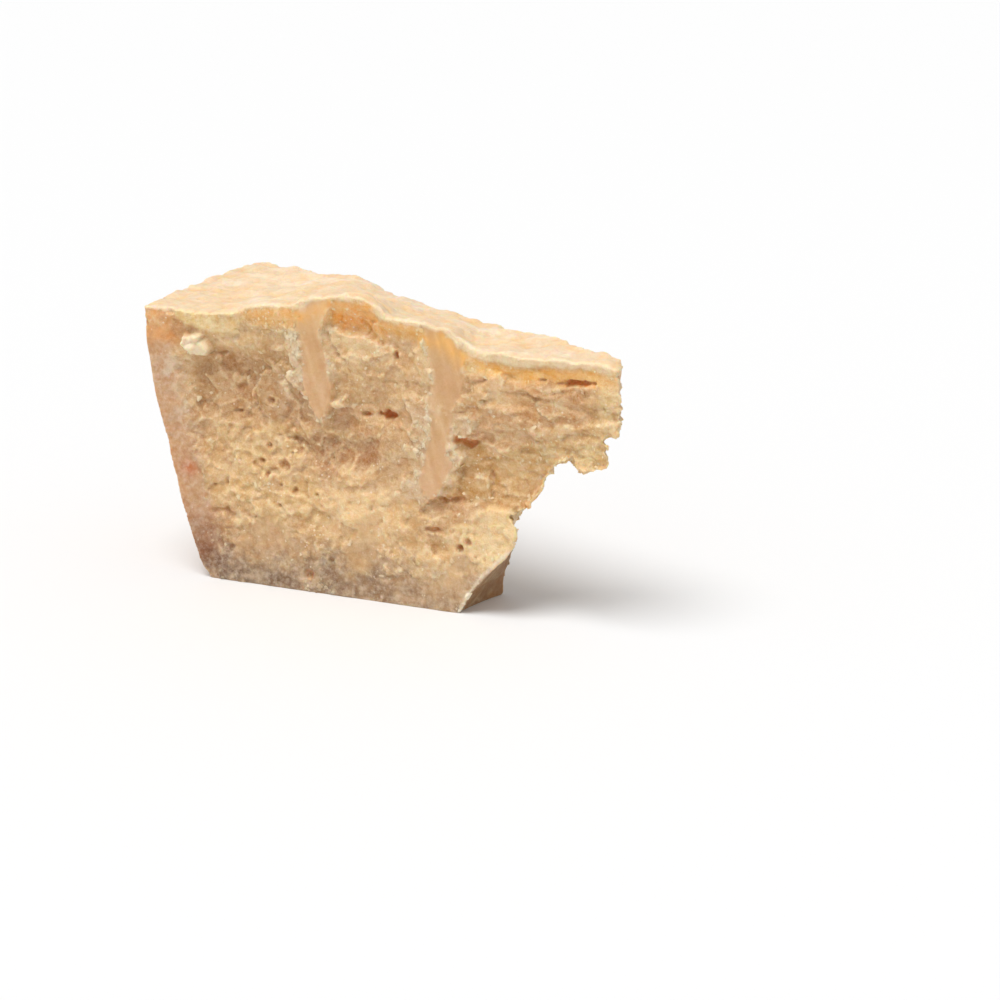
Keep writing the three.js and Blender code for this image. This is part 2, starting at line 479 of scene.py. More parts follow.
across_stroke = np.stack([u + 0.3 * v, t, v - 0.3 * u], axis=1)
across_scores = np.stack([u - 0.8 * v, t, v + 0.8 * u], axis=1)
stroke_lines = rough(across_stroke, (1.5, 6, 26), 400, 2)
knife_lines = 0.07 * stroke_lines + 0.3 * rough(P, 11, 402, 2)
score_lines = rough(across_scores, (1.6, 6, 16), 404, 2)
front_depth = lerp(front_depth, 0.1 + knife_lines, tongue)
scored_depth = 0.25 + 1.4 * knife_lines + 0.14 * score_lines - 0.35 * (crumb - 0.3) - 0.25 * middling
front_depth = lerp(front_depth, scored_depth, scored * (1 - tongue))
frill = ease(rough(P, 2.2, 398, 2), -0.15, 0.35)
front_depth -= 0.7 * torn_edge * frill * (1 - scored)

# Crevices that opened along the grain: place, half-widths and depth. Round eyes: place and size.
CREVICES = [
    (66, 72.6, 3.6, 0.7, 3), (74, 73, 3.8, 1.9, 4.5), (107.5, 66.8, 4.6, 1.5, 4.5),
    (150, 93.7, 4.4, 1.3, 3.6), (155, 94.6, 2.8, 0.8, 2.8), (145.6, 93, 2.6, 0.5, 2),
    (137.5, 93.6, 1.8, 0.8, 3), (78, 95.5, 0.6, 1.7, 3), (94, 31.5, 3.5, 0.8, 2),
    (117, 50, 0.6, 7, 1.6), (102.5, 44, 5, 1.2, 2), (6, 90, 3.2, 1.0, 1.8),
    (129.5, 83.5, 2, 0.6, 1.2), (135, 86, 2.4, 0.6, 1.2), (21, 75, 0.8, 4.5, 1.4),
    (6, 27, 4, 1.5, 1.6), (12.5, 67.5, 1.8, 0.7, 2),
]
EYES = [
    (25.5, 56, 1.2), (38.3, 55.3, 1.1), (22.4, 49.4, 1.2), (32, 48.8, 1.8), (24.5, 44, 1.1),
    (30.5, 41, 0.9), (35.8, 39, 1.1), (29.9, 32.8, 0.9), (13.3, 49, 0.8), (7.4, 39, 0.9),
    (18, 36.5, 0.9), (45.5, 38.7, 0.9), (27, 74, 1.2), (54.4, 94, 1.1), (41.7, 7, 1.9),
    (108, 28.4, 1.4), (105.3, 31.3, 0.9), (104.4, 25.3, 1.4), (111.6, 23, 0.8), (115, 22.5, 0.8),
    (79, 24, 0.7), (77, 20.6, 0.7), (93, 52.5, 0.6),
]
opened = np.zeros(len(P))
for at_u, at_v, wide, tall, deep in CREVICES:
    gap = np.hypot((u - at_u) / wide, (v - at_v) / tall) + 0.35 * jag + 0.35 * fine_jag
    opened = np.maximum(opened, ease(gap, 1.25, 0.7) * deep)
eye = np.zeros(len(P))
ring = np.zeros(len(P))
for at_u, at_v, size in EYES:
    from_eye = np.hypot(u - at_u, v - at_v) + 0.45 * jag
    eye = np.maximum(eye, ease(from_eye, size * 1.4, size * 0.4) * size)
    ring = np.maximum(ring, np.exp(-(((from_eye - 1.7 * size) / 0.5) ** 2)) * size * (at_v > 20))
from_coil = np.hypot(u - 56, v - 54) + 0.3 * jag  # a round flake like a snail's shell
for coil_radius in (5.2, 2.6):
    ring = np.maximum(ring, np.exp(-(((from_coil - coil_radius) / 0.6) ** 2)))
front_depth = front_depth + (opened + 1.3 * eye - 0.3 * ring) * front

# The upper face was split level with a wire: it is waxy, with soft ripples along the wedge.
along_top = np.stack([s + 0.35 * t, t - 0.35 * s, z], axis=1) + warped - P
ripple = rough(along_top, (26, 6, 26), 410, 3)
dimples = billow(along_top, (9, 4.5, 9), 415, 3)
rim_rise = 1.5 * np.exp(-((from_rim / 7) ** 2))
upper_rise = rim_rise + 0.8 * ripple + 1.1 * (dimples - 0.5) + 0.3 * (crumb - 0.3) - 0.5

# The back cleft face, which the knife smoothed in a few places, and the broken end, which nothing did.
in_back = AXIS_S - radius  # how far along the back face a point is, on the scale of s
BACK_TONGUES = [
    [(20, 110), (34, 110), (33, 96), (35, 84), (30, 70), (25, 74), (22, 88)],
    [(74, 108), (84, 108), (83, 92), (85, 80), (80, 66), (75, 78), (72, 94)],
    [(118, 106), (127, 106), (126, 94), (124, 82), (120, 90), (117, 96)],
    [(30, 4), (38, 22), (44, 34), (50, 26), (54, 4)],
    [(80, 4), (84, 14), (90, 24), (96, 14), (98, 4)],
]
BACK_CREVICES = [
    (52, 62, 5, 1.0, 5), (98, 74, 6, 1.3, 6), (12, 50, 3, 0.9, 3), (64, 88, 3.4, 1.1, 5),
    (140, 88, 5, 1, 5), (70, 40, 4, 1.2, 3), (108, 58, 3, 0.9, 4),
]
for outline in BACK_TONGUES:
    within = inside(in_back, z, outline) + 1.2 * jag
    tongue = np.maximum(tongue, ease(within, -1.2, 0.8) * lerp(0.5, 1, ease(z, 36, 50)) * back)
    torn_edge = np.maximum(torn_edge, np.exp(-(((within + 0.4) / 0.9) ** 2)) * back)
back_open = np.zeros(len(P))
for at_u, at_v, wide, tall, deep in BACK_CREVICES:
    gap = np.hypot((in_back - at_u) / wide, (z - at_v) / tall) + 0.4 * jag + 0.3 * fine_jag
    back_open = np.maximum(back_open, ease(gap, 1.25, 0.7) * deep * back)
back_rise = torn + 0.7 * torn_edge * frill - 0.7
back_rise = lerp(back_rise, 0.4 - knife_lines, tongue)
scored_rise = 0.2 - knife_lines - 0.14 * score_lines + 0.3 * (crumb - 0.3)
back_rise = lerp(back_rise, scored_rise, scored * (1 - tongue)) - back_open
end_rise = 0.8 * torn + 0.9 * (streaks - 0.45) + 1.3 * (billow(P, (4.5, 4.5, 2.4), 425, 3) - 0.5) - 0.4

P[:, 1] += front * broken * (front_depth - depth)
rise = (upper * upper_rise + back * back_rise + end * lerp(end_rise, 0.1 * ripple, facet)) * broken
P += N * rise[:, None]
dents, dent_name = crumbs(P + 1.2 * fine_jag[:, None], 6.0, 435)
dents = ease(dents * 6.0, 1.7, 0.3) * (dent_name < 0.3)
rind_rise = 0.1 * rough(P, 2.2, 430, 3) + 0.35 * rough(P, (26, 26, 14), 440, 2)
rind_rise = rind_rise + 0.08 * rough(P, (50, 50, 2.2), 550, 2) - 0.5 * dents - 0.3
P += N * (rind_side * (1 - front) * rind_rise)[:, None]
P[:, 2] = np.where(foot > 0.5, 0.0, np.maximum(P[:, 2], 0.0))
write_points(skin, P)

# The moved skin is evened out into a new one, whose points take the masks of the old ones beside them.
frosty = np.maximum(slab["second"], slab["first"])
chips = np.maximum.reduce([slab[n] for n in ("chunk", "chip", "flake", "star", "oval", "row", "sliver")])
tree = KDTree(len(P))
for i, point in enumerate(P):
    tree.insert(point, i)
tree.balance()
finish_modifier(wedge, "REMESH", mode="VOXEL", voxel_size=VOXEL, adaptivity=0)
finish_modifier(wedge, "SMOOTH", factor=0.5, iterations=1)
opened, eye, ring = opened * front, eye * front, ring * front
torn_edge = torn_edge * frill
lip = lip * broken * (1 - upper)
pores = pores * crumbly
P = read_points(skin)
N = read_normals(skin)
t, z = P[:, 1], P[:, 2]
old_point = np.array([tree.find(point)[1] for point in P])


def follow(*masks):
    """The same masks on the new skin."""
    return [mask[old_point] for mask in masks]


front, back, upper, end, foot, facet, rind_side = follow(front, back, upper, end, foot, facet, rind_side)
u, v, in_back, from_rind, jag, fine_jag = follow(u, v, in_back, from_rind, jag, fine_jag)
between, nose, under_nose, grainy, hollow = follow(between, nose, under_nose, grainy, hollow)
shell, lit_slope, ledge, smooth_left = follow(shell, lit_slope, ledge, smooth_left)
lobe, lump, low_lump, frosty, chips = follow(lobe, lump, low_lump, frosty, chips)
tongue, scored, stroke_lines, score_lines = follow(tongue, scored, stroke_lines, score_lines)
torn_edge, lip, chipped, pores, dimples = follow(torn_edge, lip, chipped, pores, dimples)
opened, eye, ring = follow(opened, eye, ring)

# How far each point lies in a pit among the crumbs, and in a wide dip of the face, in mm.
NEAR_ROUNDS = 6
WIDE_ROUNDS = 50
edges = read_edges(skin)
near = relax(P, edges, NEAR_ROUNDS)
wide = relax(near, edges, WIDE_ROUNDS)
pit = ((near - P) * N).sum(axis=1)
dip = ((wide - P) * N).sum(axis=1)
broken = (1 - foot) * (1 - rind_side)
knife = np.maximum(tongue, scored)


def colour(red, green, blue):
    """A colour given as 0 to 255 on a screen, as the light it gives back."""
    c = np.array((red, green, blue)) / 255
    return np.where(c < 0.04045, c / 12.92, ((c + 0.055) / 1.055) ** 2.4)


# Colours are laid on in the same way: cream above, straw in the crumbs, tan where the knife slid, a
# painted amber glow where light comes through the clear paste under the rim, and darker towards the rind
# and the foot, partly a dusty bloom and partly painted shade. Painted shade lies in hollows and pits,
# painted highlights on edges.
tint = np.tile(colour(222, 184, 134), (len(P), 1))
wandering = rough(P, 32, 306, 2)


def paint(share, red, green, blue):
    tint[:] = lerp(tint, colour(red, green, blue), np.clip(share, 0, 1)[:, None])


mottle = rough(P, 7, 500, 3)
speckle = rough(P, 2.2, 510, 3)
broad_spots = ease(rough(P, (9, 9, 16), 517, 2), 0, 0.6)
cleft = np.maximum(front, back)
paint(0.55 * ease(chipped, 0.1, 0.7), 236, 198, 142)
paint(0.45 * ease(chipped, -0.1, -0.7), 206, 160, 112)
paint(0.5 * ease(mottle, -0.1, 0.6), 226, 186, 130)
paint(0.35 * ease(mottle, -0.1, -0.7), 210, 166, 126)
paint(0.7 * back * ease(wandering, 0, 0.6), 234, 198, 142)
paint(0.6 * back * ease(wandering, 0, -0.6), 206, 158, 108)
paint(0.9 * grainy * ease(mottle, -0.6, 0.4), 226, 188, 130)
# Painted light: this stretch of the face turns up towards the sun and is painted paler for it.
paint(0.8 * lit_slope, 234, 198, 150)
# Painted shade in the hollow under the overhanging rim.
paint(0.8 * hollow, 186, 132, 66)
paint(0.5 * hollow * ease(mottle, 0, 0.5), 196, 158, 106)
paint(0.7 * smooth_left, 202, 160, 116)
paint(0.7 * shell, 196, 150, 98)
# Painted shade under the ledge.
paint(0.8 * ledge, 174, 112, 46)
paint(0.85 * nose, 206, 150, 88)
paint(0.85 * under_nose, 206, 155, 76)
paint(0.85 * low_lump, 250, 226, 176)
# Pale patches: partly the paste's own paler tone, partly painted light where the face turns up to the
# sun.
PALE_AND_LIT_PATCHES = [
    (61, 36, 15, 8), (66, 33, 12, 8), (5, 40, 5, 4), (118, 86, 10, 5), (100, 14, 9, 6),
    (105, 25, 8, 6), (125, 58, 7, 6), (10, 94, 9, 4), (165, 76, 4, 4), (150, 68, 12, 4),
    (118, 33, 8, 7), (82, 104, 6, 4),
]
# Dark patches: painted shade, in hollows, under ledges, in crevices and low down.
SHADED_PATCHES = [
    (52, 72, 14, 5), (49, 49, 10, 5), (38, 67, 7, 4), (64, 67, 7, 4), (-6, 50, 6, 9),
    (-5, 62, 5, 6), (5, 22, 6, 6), (24, 14, 15, 4), (50, 57, 12, 4), (14, 82, 12, 7),
    (-4, 22, 5, 10), (103, 40, 7, 5), (95, 31, 6, 4), (138, 94, 12, 4), (75, 77, 5, 3),
    (88, 54, 6, 6),
]
for at_u, at_v, wide_u, wide_v in PALE_AND_LIT_PATCHES:
    paint(0.7 * front * spot(u, v, at_u, at_v, wide_u, wide_v), 252, 220, 172)
for at_u, at_v, wide_u, wide_v in SHADED_PATCHES:
    paint(0.65 * front * spot(u, v, at_u, at_v, wide_u, wide_v), 188, 130, 72)
paint(0.5 * between, 216, 172, 122)
paint(0.5 * end * (1 - facet), 232, 196, 138)
paint(0.85 * front * ease(u, 153, 164) * ease(v, 66, 74), 236, 206, 150)
paint(0.8 * front * spot(u, v, 152, 67, 18, 7), 236, 202, 142)

# Under the rim the paste is clear, and the light that comes through it is painted on as an amber glow:
# most where it is sheltered, least in the lobe that hangs.
RIM_U = (-27, 5.5, 12, 15, 25, 40, 45, 55, 69, 70.5, 72, 75, 98, 105, 110, 130, 140, 160, 168)
RIM_V = (
    104, 103.5, 105, 108, 109.5, 111.5, 114, 116.2, 116.2, 113.5,
    110, 110, 108.5, 103, 100, 98, 99.5, 100, 99,
)
AMBER_U = (-27, -14, -6, 12, 20, 44, 54, 70, 76, 100, 108, 114, 160, 167)
AMBER = (0.8, 0.6, 0.1, 0.2, 0.8, 0.8, 1.0, 1.0, 0.8, 0.8, 0.8, 1.0, 0.9, 0.3)
DROP_U = (-27, 12, 20, 50, 55, 70, 76, 100, 112, 168)
DROP = (9, 4, 10, 9, 15, 15, 8, 12, 9, 8)
below_rim = np.interp(u, RIM_U, RIM_V) - v
amber_drop = np.interp(u, DROP_U, DROP)
fading = ease(below_rim + 1.5 * jag, amber_drop, 0.4 * amber_drop)
clear = np.interp(u, AMBER_U, AMBER) * ease(below_rim + 0.8 * jag, 0, 2.5) * fading
paint(0.95 * clear * front, 255, 192, 88)
paint(0.5 * clear * front * ease(u, 72, 78) * ease(below_rim, 9, 4), 255, 200, 96)
# Deepest in the bay under the rim: painted glow and painted shade.
paint(0.85 * clear * front * spot(u, v, 61, 109, 10, 5), 252, 166, 46)
# The same painted glow under the rim of the back face.
below_back_rim = np.interp(in_back, (-20, 40, 100, 160), (107.5, 110, 105.5, 104)) - z
back_rim_glow = ease(below_back_rim + 0.8 * jag, 1, 3) * ease(below_back_rim + 1.5 * jag, 12, 5) * back
paint(0.8 * back_rim_glow, 232, 166, 84)

paint(0.8 * tongue * ease(z, 34, 40) * ease(below_rim, 2, 13), 216, 172, 126)
paint(0.5 * chips * front, 236, 204, 156)
strip = ease(from_rind + jag, 17, 9) * cleft
paint(0.8 * strip, 200, 152, 112)
# Painted amber glow under the rim, along the strip by the rind.
paint(0.85 * strip * ease(z, 88, 94), 236, 166, 84)
paint(0.5 * strip * ease(score_lines, 0.0, 0.6) * ease(z, 88, 76), 224, 188, 168)
paint(0.4 * strip * ease(score_lines, -0.1, -0.6), 186, 128, 88)
paint(0.5 * strip * spot(from_rind, z, 0, 60, 3, 40), 206, 146, 88)
paint(0.85 * strip * spot(u, v, -16, 82, 9, 9) * ease(speckle, -0.5, 0.2), 222, 202, 180)
paint(0.7 * strip * spot(u, v, -10, 66, 5, 9) * ease(speckle, -0.4, 0.3), 220, 200, 178)
paint(0.8 * strip * spot(u, v, -9, 43, 4, 3), 206, 116, 58)
# Darker towards the foot: partly the dusty colour of the paste there, partly painted shade where the face
# turns down away from the light.
paint(0.85 * strip * ease(z + 3 * mottle, 34, 12), 156, 96, 52)
low = ease(z + 2.5 * jag + 4 * mottle, 24, 5) * cleft
along_foot = ease(np.where(back > 0.5, in_back, u), 10, 100)[:, None]
LOW_LEFT, LOW_RIGHT = colour(98, 64, 42), colour(150, 112, 78)
tint = lerp(tint, lerp(LOW_LEFT, LOW_RIGHT, along_foot), (0.9 * low)[:, None])
paint(0.5 * low * ease(rough(P, (5, 5, 3), 520, 3), 0, 0.5), 216, 184, 150)
paint(0.4 * low * ease(speckle, 0.1, 0.6) * ease(z, 16, 5), 234, 210, 180)
paint(0.8 * tongue * ease(z, 36, 32) * ease(z, 6, 20), 190, 150, 108)
paint(0.5 * low * ease(mottle, -0.05, -0.6), 128, 92, 62)
paint(0.55 * front * spot(u, v, 99, 14, 9, 5), 244, 208, 160)
paint(0.4 * front * spot(u, v, 42, 5, 6, 3), 226, 196, 162)
paint(0.45 * tongue * ease(stroke_lines, 0.1, 0.6), 240, 210, 172)
paint(0.35 * tongue * ease(stroke_lines, -0.1, -0.6), 200, 150, 104)
paint(0.8 * frosty, 210, 172, 134)
paint(0.7 * frosty * ease(speckle, -0.1, 0.35) * (1 - tongue), 240, 220, 192)
paint(0.5 * tongue * broad_spots, 226, 186, 150)
paint(0.9 * upper, 238, 213, 180)
# Painted shade: the creases between the dimples of the upper face are painted a darker peach.
paint(0.6 * upper * ease(dimples, 0.5, 0.2), 240, 196, 134)
paint(0.5 * upper * ease(mottle, 0.1, 0.7), 240, 204, 154)
paint(0.6 * upper * ease(rough(P, (16, 9, 16), 530, 3), 0.05, 0.6), 242, 204, 148)
paint(0.5 * upper * ease(rough(P, (12, 7, 12), 540, 3), 0.1, 0.6), 248, 234, 214)
paint(0.3 * upper * ease(speckle, 0.1, 0.6), 244, 202, 136)
# Painted highlight: a pale line along the rim, where the front face meets the upper face.
paint(0.95 * ease(below_rim + 0.6 * jag, 1.0, -0.3) * front, 248, 230, 196)
paint(0.9 * lobe, 244, 214, 152)
paint(0.6 * lobe * ease(speckle, -0.2, 0.4), 250, 234, 196)
paint(lump, 252, 242, 220)
bare_rind = rind_side * (1 - front)
scuffs = rough(P, (60, 60, 2.2), 550, 3)  # drawn round the wheel by the cloths and brushes
smears = rough(P, (16, 16, 9), 560, 3)
paint(bare_rind, 214, 164, 108)
paint(0.8 * bare_rind * ease(z + 4 * mottle, 82, 100), 232, 180, 104)
paint(0.7 * bare_rind * ease(z + 6 * mottle, 38, 10), 176, 124, 82)
paint(0.5 * bare_rind * ease(smears, 0, 0.6), 226, 190, 152)
paint(0.5 * bare_rind * ease(smears, -0.05, -0.6), 190, 132, 80)
paint(0.18 * bare_rind * ease(scuffs, 0.05, 0.5), 236, 204, 160)
paint(0.16 * bare_rind * ease(scuffs, -0.05, -0.5), 176, 120, 74)
paint(0.4 * bare_rind * ease(speckle, 0.2, 0.7), 234, 206, 166)
# Painted shade in the pits of the rind.
paint(0.6 * bare_rind * ease(pit, 0.03, 0.12), 150, 98, 56)
paint(foot, 196, 150, 98)
# The facet: tan, its own colour where the knife cut it, and darker too, as painted shade on a face turned
# down and away from the sun.
paint(facet, 150, 104, 58)
paint(0.5 * facet * ease(mottle, -0.3, 0.5), 170, 124, 74)
rugged = broken * (1 - upper) * (1 - 0.85 * knife)
paint(0.3 * ease(chipped, 0.15, 0.8) * rugged, 242, 214, 166)
paint(0.25 * ease(chipped, -0.15, -0.8) * rugged, 196, 146, 96)
# Painted shade: the pits among the crumbs, the wide dips of the face and the pores are painted darker.
paint(0.38 * ease(pit, 0.05, 0.28) * rugged, 194, 130, 70)
paint(0.45 * ease(dip, 0.2, 1.6) * rugged, 184, 122, 66)
paint(0.6 * pores * rugged, 184, 118, 56)
# Painted highlights on the edges that stand out, and on the rounded rim above them.
paint(0.5 * ease(-pit, 0.04, 0.25) * broken * (1 - 0.5 * knife), 250, 232, 196)
paint(0.5 * ease(-dip, 0.3, 1.5) * ease(z, 92, 97) * broken, 248, 232, 200)
# The lips of the flakes are pale: partly their frosty colour, partly a painted highlight.
paint(0.4 * lip * (1 - 0.7 * knife), 246, 228, 192)
paint(0.7 * torn_edge * ease(speckle, -0.6, 0.1), 246, 230, 204)
paint(0.4 * ring, 238, 210, 164)
# Painted glow: crevice insides are painted bright orange, for the light that comes through the paste.
paint(0.9 * ease(opened, 0.8, 3.4), 236, 152, 76)
# Painted shade inside the round eyes.
paint(0.7 * ease(eye, 0.3, 1.2), 200, 128, 58)
# Painted highlight: a thin pale line along the crisp edge between the front face and the facet.
FACET_EDGE = [(104, 0), (108, 8), (113, 15), (118, 20), (122, 24), (127, 28)]
from_edge = np.abs(inside(u, v, FACET_EDGE + FACET_EDGE[-2:0:-1]))
edge_highlight = ease(from_edge + 0.3 * fine_jag, 0.9, 0.4) * ease(t, 9, 4)
paint(0.9 * edge_highlight * np.maximum(front, facet), 246, 236, 220)
paint(0.35 * front * spot(u, v, -3, 11, 8, 10), 164, 98, 48)
SUNK_LIGHT = np.array([0.955, 0.925, 0.845])  # the break drinks in a little of the light, blue most
tint = lerp(tint, tint * SUNK_LIGHT, (broken * (1 - upper))[:, None])


def keep_colours(mesh, tint):
    shown = mesh.color_attributes.new("paste colour", "FLOAT_COLOR", "POINT")
    with_alpha = np.hstack([tint, np.ones((len(tint), 1))])
    shown.data.foreach_set("color", with_alpha.astype(np.float32).ravel())


def keep_mask(mesh, name, share):
    kept = mesh.attributes.new(name, "FLOAT", "POINT")
    kept.data.foreach_set("value", share.astype(np.float32))


bloom = 0.8 * low * (1 - 0.5 * tongue) + 0.6 * strip * ease(z, 93, 84)
bloom = np.clip(bloom, 0, 1) * (1 - 0.75 * spot(u, v, -3, 13, 7, 10))
keep_colours(skin, tint)
keep_mask(skin, "knife", np.maximum.reduce([tongue, 0.6 * scored, facet, 0.6 * upper, 0.7 * bare_rind]))
keep_mask(skin, "bloom", bloom)
keep_mask(skin, "rind", np.maximum(bare_rind, foot))

# Flat stretches need few faces and crumbs need many.
MOST_TRIANGLES = 197000
triangles = sum(len(face.vertices) - 2 for face in skin.polygons)
finish_modifier(wedge, "DECIMATE", ratio=MOST_TRIANGLES / triangles)

# What makes it paste and not paint: grains too fine to model, pale specks that are partly crystals and
# partly painted glints, and a damp gloss.
GRAIN_HEIGHT = 0.0009  # metres
grain = bpy.data.node_groups.new("cheese grain", "ShaderNodeTree")
for name, kind, where in (
    ("Colour", "NodeSocketColor", "INPUT"),
    ("Smooth", "NodeSocketFloat", "INPUT"),
    ("Bloom", "NodeSocketFloat", "INPUT"),
    ("Colour", "NodeSocketColor", "OUTPUT"),
    ("Roughness", "NodeSocketFloat", "OUTPUT"),
    ("Height", "NodeSocketFloat", "OUTPUT"),
):
    grain.interface.new_socket(name, in_out=where, socket_type=kind)


def feed(tree, socket, value):
    """Joins a socket to the output given for it, or sets its plain value."""
    if isinstance(value, bpy.types.NodeSocket):
        tree.links.new(value, socket)
    else:
        socket.default_value = value


def put(tree, kind, inputs=(), **settings):
    """Adds a node with those settings and feeds its named sockets."""
    node = tree.nodes.new("ShaderNode" + kind)
    for name, value in settings.items():
        setattr(node, name, value)
    for name, value in dict(inputs).items():
        feed(tree, node.inputs[name], value)
    return node


def noise(tree, where, scale, detail=3, rough_share=0.6):
    inputs = {"Vector": where, "Scale": scale, "Detail": detail, "Roughness": rough_share}
    return put(tree, "TexNoise", inputs).outputs["Fac"]


def spread(tree, value, low, high, to_low=0.0, to_high=1.0):
    """Stretches a mask softly, from low and high to to_low and to_high."""
    inputs = {"Value": value, "From Min": low, "From Max": high, "To Min": to_low, "To Max": to_high}
    return put(tree, "MapRange", inputs, interpolation_type="SMOOTHSTEP").outputs["Result"]


def maths(tree, kind, first, second):
    node = put(tree, "Math", operation=kind)
    feed(tree, node.inputs[0], first)
    feed(tree, node.inputs[1], second)
    return node.outputs[0]


def times(tree, first, second):
    return maths(tree, "MULTIPLY", first, second)


def blend_colour(tree, share, first, second, mode="MIX"):
    """Lays a second colour over a first one; these are the colour sockets of the mix node."""
    node = put(tree, "Mix", data_type="RGBA", blend_type=mode)
    feed(tree, node.inputs[0], share)
    feed(tree, node.inputs[6], first)
    feed(tree, node.inputs[7], second)
    return node.outputs[2]


def painted(tree, name, output="Fac"):
    """A colour or mask that was laid on the points."""
    return put(tree, "Attribute", attribute_name=name).outputs[output]


taken = grain.nodes.new("NodeGroupInput").outputs
given = grain.nodes.new("NodeGroupOutput").inputs
place = put(grain, "TexCoord").outputs["Object"]
rugged_share = maths(grain, "SUBTRACT", 1.0, taken["Smooth"])
broad_patches = noise(grain, place, 160, 3)
fine_patches = noise(grain, place, 520, 4, 0.6)
finest = noise(grain, place, 1700, 3, 0.6)
finer = times(grain, maths(grain, "ADD", fine_patches, finest), 0.35)
tone = spread(grain, maths(grain, "ADD", times(grain, broad_patches, 0.3), finer), 0.38, 0.62)
darker = blend_colour(grain, 1.0, taken["Colour"], (0.93, 0.86, 0.77, 1), "MULTIPLY")
lighter = blend_colour(grain, 0.24, taken["Colour"], (1.0, 0.88, 0.66, 1))
mixed = blend_colour(grain, tone, darker, lighter)
held = blend_colour(grain, times(grain, taken["Smooth"], 0.65), mixed, taken["Colour"])
# Pale specks: partly the paste's crystals, partly painted glints.
speck_cells = put(grain, "TexVoronoi", {"Vector": place, "Scale": 420, "Randomness": 1.0})
speck_patches = times(grain, spread(grain, noise(grain, place, 90, 1), 0.52, 0.6), rugged_share)
crystal_and_glint_spots = times(grain, spread(grain, speck_cells.outputs["Distance"], 0.22, 0.1), speck_patches)
speckled = blend_colour(grain, times(grain, crystal_and_glint_spots, 0.55), held, (0.95, 0.86, 0.70, 1))
dust = times(grain, spread(grain, fine_patches, 0.42, 0.68), taken["Bloom"])
dusted = blend_colour(grain, times(grain, dust, 0.34), speckled, (0.84, 0.68, 0.54, 1))
grain.links.new(dusted, given["Colour"])
gloss = spread(grain, finest, 0.35, 0.65, 0.32, 0.58)
grain.links.new(gloss, given["Roughness"])
bumps = maths(grain, "ADD", fine_patches, times(grain, finest, 0.45))
held_bumps = times(grain, bumps, spread(grain, taken["Smooth"], 0.0, 1.0, 1.0, 0.3))
grain.links.new(held_bumps, given["Height"])


def cheese_material(name, lit_through, reach, relief):
    """A finish on the shared grain: how much light goes in, how far in metres, and the relief."""
    material = bpy.data.materials.new(name)
    material.use_nodes = True
    tree = material.node_tree
    shader = tree.nodes["Principled BSDF"]
    shader.inputs["Subsurface Weight"].default_value = lit_through
    shader.inputs["Subsurface Radius"].default_value = (1.0, 0.5, 0.22)
    shader.inputs["Subsurface Scale"].default_value = reach
    use = tree.nodes.new("ShaderNodeGroup")
    use.node_tree = grain
    tree.links.new(painted(tree, "paste colour", "Color"), use.inputs["Colour"])
    tree.links.new(painted(tree, "knife"), use.inputs["Smooth"])
    tree.links.new(painted(tree, "bloom"), use.inputs["Bloom"])
    inputs = {"Height": use.outputs["Height"], "Strength": relief, "Distance": GRAIN_HEIGHT}
    bump = put(tree, "Bump", inputs)
    tree.links.new(use.outputs["Colour"], shader.inputs["Base Color"])
    tree.links.new(use.outputs["Roughness"], shader.inputs["Roughness"])
    tree.links.new(bump.outputs["Normal"], shader.inputs["Normal"])
    return material


skin.materials.append(cheese_material("cleft paste", lit_through=0.75, reach=0.0018, relief=0.85))
skin.materials.append(cheese_material("dry rind", lit_through=0.35, reach=0.0012, relief=0.8))
rind_points = np.empty(len(skin.vertices), np.float32)
skin.attributes["rind"].data.foreach_get("value", rind_points)
corner_points = np.empty(len(skin.loops), np.int32)
skin.loops.foreach_get("vertex_index", corner_points)
face_starts = np.empty(len(skin.polygons), np.int32)
skin.polygons.foreach_get("loop_start", face_starts)
on_rind = np.maximum.reduceat(rind_points[corner_points], face_starts) > 0.5
skin.polygons.foreach_set("material_index", on_rind.astype(np.int32))
bpy.ops.object.shade_smooth()
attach(wedge, "root")
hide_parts("cheese_wedge")

# The crumbs and frosty flakes left by the break.
# Splinters of the same paste, a half to two and a half millimetres across, cling to the torn lips, to the
# frosty slabs beside the knife strokes and along the foot. One chip is modelled and copied, and each copy
# is roughened, squashed and turned in its own way.
CHIP_COUNT = 1500
CHIP_REACH = (0.25, 1.2)  # mm from a chip's middle to its tip, least and most, before it is roughened
CLING_HEIGHT = 0.06  # mm that a chip's middle stands off the paste
bpy.ops.mesh.primitive_ico_sphere_add(subdivisions=1, radius=1, location=(0, 0, 0))
chip = bpy.context.object
chip_shape = np.array([v.co for v in chip.data.vertices])
chip_faces = np.array([f.vertices for f in chip.data.polygons])
bpy.data.objects.remove(chip)

draw = np.random.default_rng(7)
below_nose = front * spot(u, v, 150, 66, 20, 6)
cling = (
    0.8 * torn_edge
    + 0.5 * frosty * ease(speckle, -0.2, 0.4)
    + 0.12 * lip * rugged
    + 0.10 * nose * ease(speckle, 0, 0.5)
    + 0.5 * front * spot(u, v, 24, 102, 16, 3)
    + 0.25 * front * spot(u, v, 36, 96, 5, 12)
    + 0.5 * ease(z, 2.5, 0.8) * front * ease(mottle, -0.2, 0.3)
    + 1.0 * front * spot(u, v, 46, 3, 5, 3)
    + 0.4 * below_nose
    + 0.25 * end * (1 - facet)
    + 0.004 * rugged
) * (rind_side < 0.01) * (1 - facet) * ease(upper, 0.2, 0.02) * (1 - foot) * ease(z, 0.3, 0.8)
chosen = draw.choice(len(P), CHIP_COUNT, p=cling / cling.sum())
length = np.minimum(draw.gamma(3, 0.14, CHIP_COUNT) + CHIP_REACH[0], CHIP_REACH[1])
leaning = N[chosen] + 0.3 * draw.normal(size=(CHIP_COUNT, 3))
leaning /= np.linalg.norm(leaning, axis=1)[:, None]
